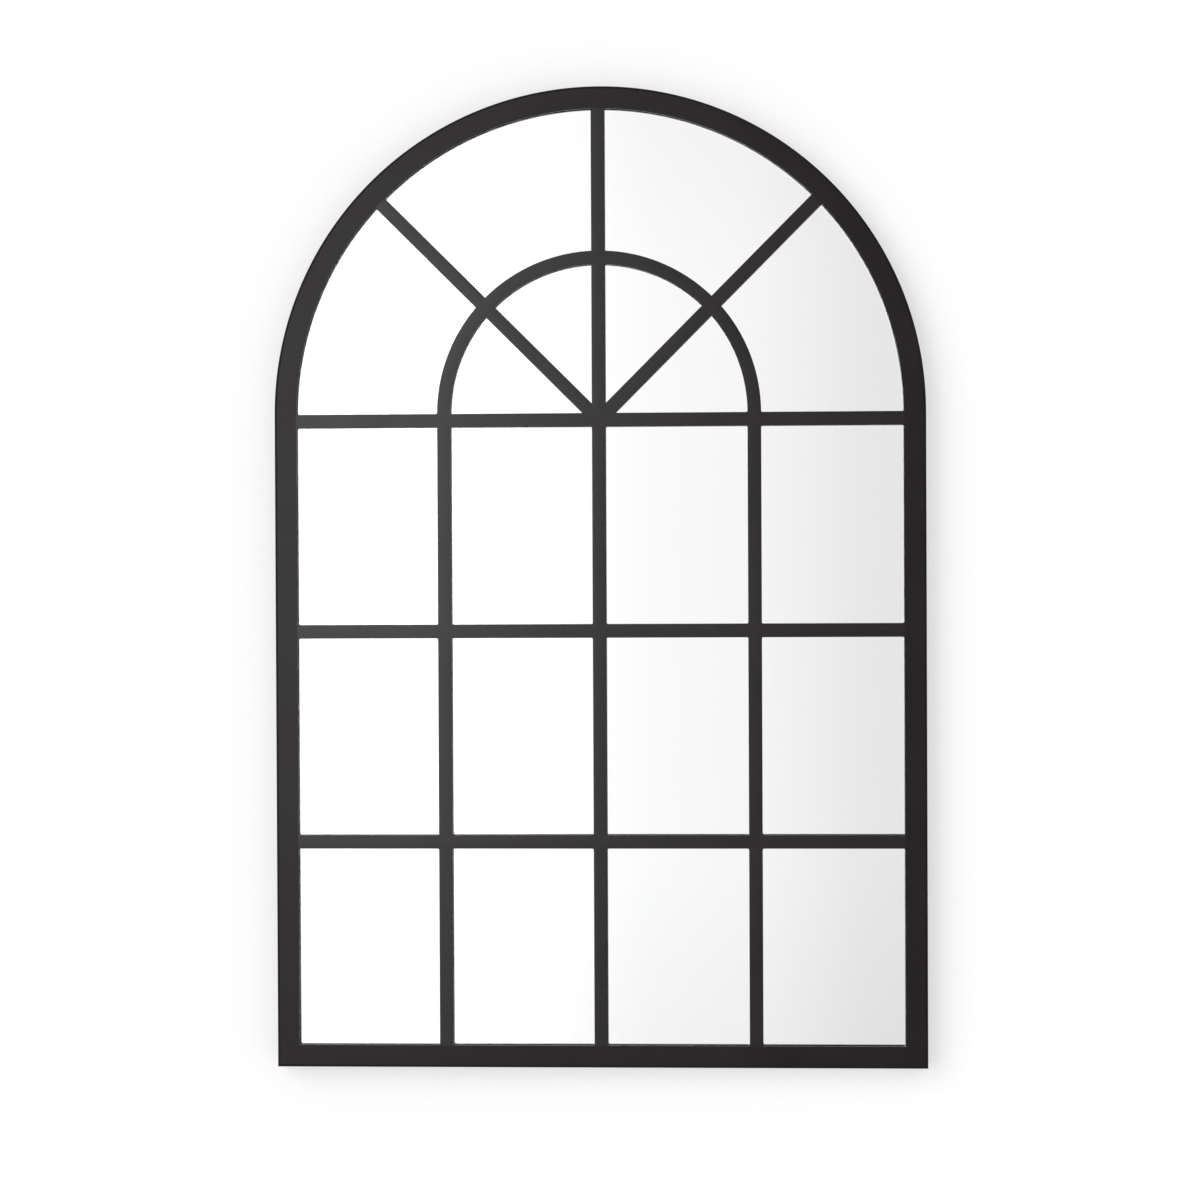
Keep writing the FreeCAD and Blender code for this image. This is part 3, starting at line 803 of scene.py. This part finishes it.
welds = {
    "boss": 0.004, "bossEase": 0.0004, "bossTurn": 0.5,
    "bead": 0.00036, "beadOut": 0.00012, "beadRipples": 44, "beadSwell": (1.012, 0.8, 1.012),
    "seam": 0.0011, "seamShort": 0.0006, "seamOffset": 0.0003, "seamRipples": 26,
    "seamWaist": (0.8, 1, 0.8), "paneRound": 0.0013, "paneLap": 0.0006, "paneInset": 0.00008,
}


def makeBoss(base, top):
    # a threaded boss with a rippled weld bead round its foot
    w = welds
    boss = combine(rod("bossTemplate", w["boss"], base, top),
                   rod("thread", fixings["hole"], base - past, top + past))
    ease(boss, w["bossEase"], 2, lambda e: middle(e).y > top - near)
    bead = startPiece("bead", bpy.ops.mesh.primitive_torus_add, major_segments=w["beadRipples"],
                      minor_segments=10, major_radius=w["boss"] + w["beadOut"], minor_radius=w["bead"],
                      location=(0, base, 0), rotation=(math.pi / 2, 0, 0))
    editing(bead)
    step = 2 * math.pi / w["beadRipples"]
    choose(bead, "verts", lambda v: round(math.atan2(v.co.z, v.co.x) / step) % 2 == 0)
    bpy.ops.transform.resize(value=w["beadSwell"], center_override=(0, base, 0))
    editing(bead, False)
    return combine(boss, bead, "UNION")


def makeBosses():
    base = rails["front"] + rails["wall"]
    short = [(p.x, p.z) for p in clipPivots.values()] + list(fixings["bumperPlaces"])
    for name, node, places in (("shortWeldBosses", "short_weld_bosses", short),
                               ("tallWeldBosses", "tall_weld_bosses", hangerScrews)):
        boss = makeBoss(base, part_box(node)[1].y)
        seats = [((x, 0, z), welds["bossTurn"] * i) for i, (x, z) in enumerate(places)]
        finishPiece(repeat(name, boss, seats), "frame", "frame_paint", [node], powderCoat)


def makeSeamWeld(x, z):
    # a rippled bead from the face to the rim, inside a joint of the frame
    w = welds
    start, end = rails["front"] + rails["wall"], rails["rim"] - w["seamShort"]
    bead = rod("seamWeld", w["seam"], start, end, x, z, steps=14)
    editing(bead)
    count = w["seamRipples"]
    for i in range(1, count):
        cutPlane((0, start + (end - start) * i / count, 0), (0, 1, 0), "both")
    pitch = (end - start) / count
    choose(bead, "verts", lambda v: round((v.co.y - start) / pitch) % 2 == 0)
    bpy.ops.transform.resize(value=w["seamWaist"], center_override=(x, 0, z))
    editing(bead, False)
    return bead


def makeSeamWelds():
    wallLine, offset = rails["halfWidth"] - rails["wall"], welds["seamOffset"]
    beads = []
    for side in (-1, 1):
        beads.append(makeSeamWeld(side * (wallLine - offset), rails["wall"] + offset))
        beads.append(makeSeamWeld(side * (wallLine + offset), rails["springLine"]))
    finishPiece(gather("seamWelds", beads), "frame", "frame_paint", [], powderCoat)


def makeCornerFillets():
    # the weld and the coating gather in the square corners of the panes
    r, lap, inset = welds["paneRound"], welds["paneLap"], welds["paneInset"]
    front, back = rails["front"] + inset, rails["front"] + rails["wall"] - inset
    wedge = block("filletTemplate", (r + lap, back - front, r + lap),
                  ((r - lap) / 2, (front + back) / 2, (r - lap) / 2))
    combine(wedge, rod("round", r, front - past, back + past, x=r, z=r))
    half = bars["width"] / 2
    columns = [(-sightEdge, -outerEdge), (-innerEdge, -half), (half, innerEdge), (outerEdge, sightEdge)]
    rows = [rails["face"]]
    for level in levels:
        low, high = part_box(level + "_transom")
        rows += [low.z, high.z]
    corners = []
    for left, right in columns:
        for foot, head in zip(rows[::2], rows[1::2]):
            corners += [(left, foot, 0), (left, head, 1), (right, head, 2), (right, foot, 3)]
    corners += [(-sightEdge, rows[-1], 0), (-outerEdge, rows[-1], 3), (-innerEdge, rows[-1], 0),
                (innerEdge, rows[-1], 3), (outerEdge, rows[-1], 0), (sightEdge, rows[-1], 3)]
    seats = [((x, 0, z), quarter * math.pi / 2) for x, z, quarter in corners]
    finishPiece(repeat("cornerFillets", wedge, seats), "frame", "frame_paint", [], barCoat)


makeBosses()
makeSeamWelds()
makeCornerFillets()
print("welds made")

# studio

studio = {
    "floorLevel": -0.32, "wallPlane": 0.0125, "wallSize": 16.0, "wallGlow": 0.47,
    "wallWhite": (0.985, 0.983, 0.983, 1), "floorPale": (0.90, 0.895, 0.89, 1),
    "worldLevel": 0.74, "worldTint": (1.0, 0.965, 0.965, 1), "lampTint": (0.95, 1.0, 1.0),
    "keyFrom": (-0.62, -0.70, 0.36), "keyPower": 1.15, "keySpread": 46,
    "backFrom": (0.5, 0.7, 0.6), "backPower": 1.0, "backSpread": 50,
}


def oneSided(name, colour, glow):
    # a stage surface that is seen from its front only; glow is the share of it that is plain white
    material = bpy.data.materials.new(name)
    material.use_nodes = True
    paint = Finish(material.node_tree)
    matt = paint.add("ShaderNodeBsdfDiffuse", {}, {"Color": colour})
    plain = paint.add("ShaderNodeEmission", {}, {"Color": (1, 1, 1, 1), "Strength": 1.0})
    matt = paint.add("ShaderNodeMixShader", {}, {0: glow, 1: matt, 2: plain}) if glow else matt
    clear = paint.add("ShaderNodeBsdfTransparent")
    turned = paint.add("ShaderNodeNewGeometry", {}, {}, "Backfacing")
    both = paint.add("ShaderNodeMixShader", {}, {0: turned, 1: matt, 2: clear})
    output = paint.tree.nodes.new("ShaderNodeOutputMaterial")
    paint.tree.links.new(both.socket, output.inputs["Surface"])
    return material


def makeStage():
    s = studio
    wall = startPiece("wallSheet", bpy.ops.mesh.primitive_plane_add, size=s["wallSize"],
                      location=(0, s["wallPlane"], s["floorLevel"] + s["wallSize"] / 2),
                      rotation=(math.pi / 2, 0, 0))
    wall.data.materials.append(oneSided("wallWhite", s["wallWhite"], s["wallGlow"]))
    for ray in ("diffuse", "glossy", "transmission", "shadow", "volume_scatter"):
        setattr(wall, "visible_" + ray, False)
    floor = startPiece("floorSheet", bpy.ops.mesh.primitive_plane_add, size=s["wallSize"],
                       location=(0, 0, s["floorLevel"]))
    floor.data.materials.append(oneSided("floorPale", s["floorPale"], 0))
    floor.visible_glossy = floor.visible_transmission = False  # the mirror sees the room's even white


def softLamp(name, source, power, spreadAngle):
    # a broad, distant and soft light from the direction of source
    lamp = bpy.data.lights.new(name, "SUN")
    lamp.energy, lamp.angle, lamp.color = power, math.radians(spreadAngle), studio["lampTint"]
    item = bpy.data.objects.new(name, lamp)
    bpy.context.scene.collection.objects.link(item)
    item.rotation_euler = (-Vector(source)).to_track_quat("-Z", "Y").to_euler()
    item.visible_glossy = item.visible_transmission = False


# levels of the room by direction, across and up from -1 to 1. A patch of light has its middle, its
# half size where it starts to fade, its half size where it ends, and its level. paintedUp has where
# it starts to fade, where it ends and the level there
room = {
    "mirroredAcross": [
        (-0.80, 0.72), (-0.40, 0.92), (-0.25, 1.15), (-0.066, 1.15), (-0.050, 1.07), (-0.030, 1.012),
        (0.003, 0.975), (0.040, 0.85), (0.060, 0.83), (0.45, 0.78), (0.80, 0.66)],
    "mirroredUp": [
        (-0.90, 0.62), (-0.40, 0.76), (-0.165, 0.93), (-0.10, 1.0), (0.10, 1.0), (0.165, 0.94),
        (0.40, 0.88), (0.90, 1.0)],
    "paintedAcross": [
        (-0.60, 0.55), (-0.40, 0.85), (-0.25, 1.15), (-0.066, 1.15), (-0.030, 1.012), (0.040, 0.85),
        (0.16, 0.50), (0.60, 0.36)],
    "paintedUp": (0.10, 0.6, 0.45),
    "windowAcross": (-0.16, 0.05, 0.105, 7.0), "windowUp": (0.04, 0.03, 0.27, 1.0),
    "rearAcross": (0.35, 0.10, 0.45, 2.6), "rearUp": (0.25, 0.10, 0.50, 1.0), "rearLevel": 0.9,
    "rearFrom": -0.05, "rearFull": 0.10,
}


def makeWorld():
    # even light all round; camera and mirror rays see a white room, brightest to the front left
    world = bpy.data.worlds.new("studioRoom")
    bpy.context.scene.world = world
    world.use_nodes = True
    sky = Finish(world.node_tree)
    way = sky.add("ShaderNodeTexCoord", {}, {}, "Generated")
    across, depth, up = (sky.add("ShaderNodeSeparateXYZ", {}, {0: way}, axis) for axis in range(3))

    def profile(source, stops):
        # a level that follows the stops, each a place from -1 to 1 and a level up to 2
        ramp = {"stops": [((s + 1) / 2, (v / 2, v / 2, v / 2, 1)) for s, v in stops]}
        return sky.add("ShaderNodeValToRGB", ramp, {0: (source + 1) * 0.5}) * 2

    def patch(source, place, fades, ends, level):
        return sky.spread(abs(source - place), fades, ends, level, 0.0)

    # what comes back through the glass is the plain room; the paint also has a window's sheen
    mirrored = profile(across, room["mirroredAcross"]) * profile(up, room["mirroredUp"])
    fades, ends, darkest = room["paintedUp"]
    painted = profile(across, room["paintedAcross"])
    painted = painted * sky.spread(abs(up), fades, ends, 1.0, darkest)
    painted = painted + patch(across, *room["windowAcross"]) * patch(up, *room["windowUp"])
    passing = sky.add("ShaderNodeLightPath", {}, {}, "Is Transmission Ray")
    seen = mirrored * passing + painted * (1 - passing)
    rear = patch(across, *room["rearAcross"]) * patch(up, *room["rearUp"]) + room["rearLevel"]
    behind = sky.spread(depth, room["rearFrom"], room["rearFull"], 0.0, 1.0)
    seen = seen * (1 - behind) + behind * rear
    camera = sky.add("ShaderNodeLightPath", {}, {}, "Is Camera Ray")
    glossy = sky.add("ShaderNodeLightPath", {}, {}, "Is Glossy Ray")
    mirrorRay = glossy.math("MAXIMUM", glossy, passing)
    lamps = sky.add("ShaderNodeBackground", {}, {
        "Color": studio["worldTint"], "Strength": studio["worldLevel"]})
    view = sky.add("ShaderNodeBackground", {}, {"Color": (1, 1, 1, 1), "Strength": seen})
    white = sky.add("ShaderNodeBackground", {}, {"Color": (1, 1, 1, 1), "Strength": 1.0})
    part = sky.add("ShaderNodeMixShader", {}, {0: mirrorRay, 1: lamps, 2: view})
    whole = sky.add("ShaderNodeMixShader", {}, {0: camera, 1: part, 2: white})
    output = sky.tree.nodes.new("ShaderNodeOutputWorld")
    sky.tree.links.new(whole.socket, output.inputs["Surface"])


makeStage()
makeWorld()
softLamp("keySoftbox", studio["keyFrom"], studio["keyPower"], studio["keySpread"])
softLamp("backSoftbox", studio["backFrom"], studio["backPower"], studio["backSpread"])
print("studio made")

# camera

photoView = {"place": (0.1323, -2.7583, 0.4590), "yaw": -0.04796, "pitch": -0.01068, "roll": -0.00439,
             "lens": 90.0, "sensor": 36.0}


def makeCamera():
    v = photoView
    yaw, pitch, roll = v["yaw"], v["pitch"], v["roll"]
    ahead = Vector((math.sin(yaw) * math.cos(pitch), math.cos(yaw) * math.cos(pitch), math.sin(pitch)))
    level = Vector((math.cos(yaw), -math.sin(yaw), 0))
    upright = level.cross(ahead)
    right = math.cos(roll) * level + math.sin(roll) * upright
    top = right.cross(ahead)
    data = bpy.data.cameras.new("photoCamera")
    data.lens, data.sensor_width = v["lens"], v["sensor"]
    camera = bpy.data.objects.new("photoCamera", data)
    bpy.context.scene.collection.objects.link(camera)
    turned = Matrix((right, top, -ahead)).transposed().to_4x4()
    camera.matrix_world = Matrix.Translation(v["place"]) @ turned
    bpy.context.scene.camera = camera


makeCamera()
bpy.context.scene.view_settings.view_transform = "Standard"
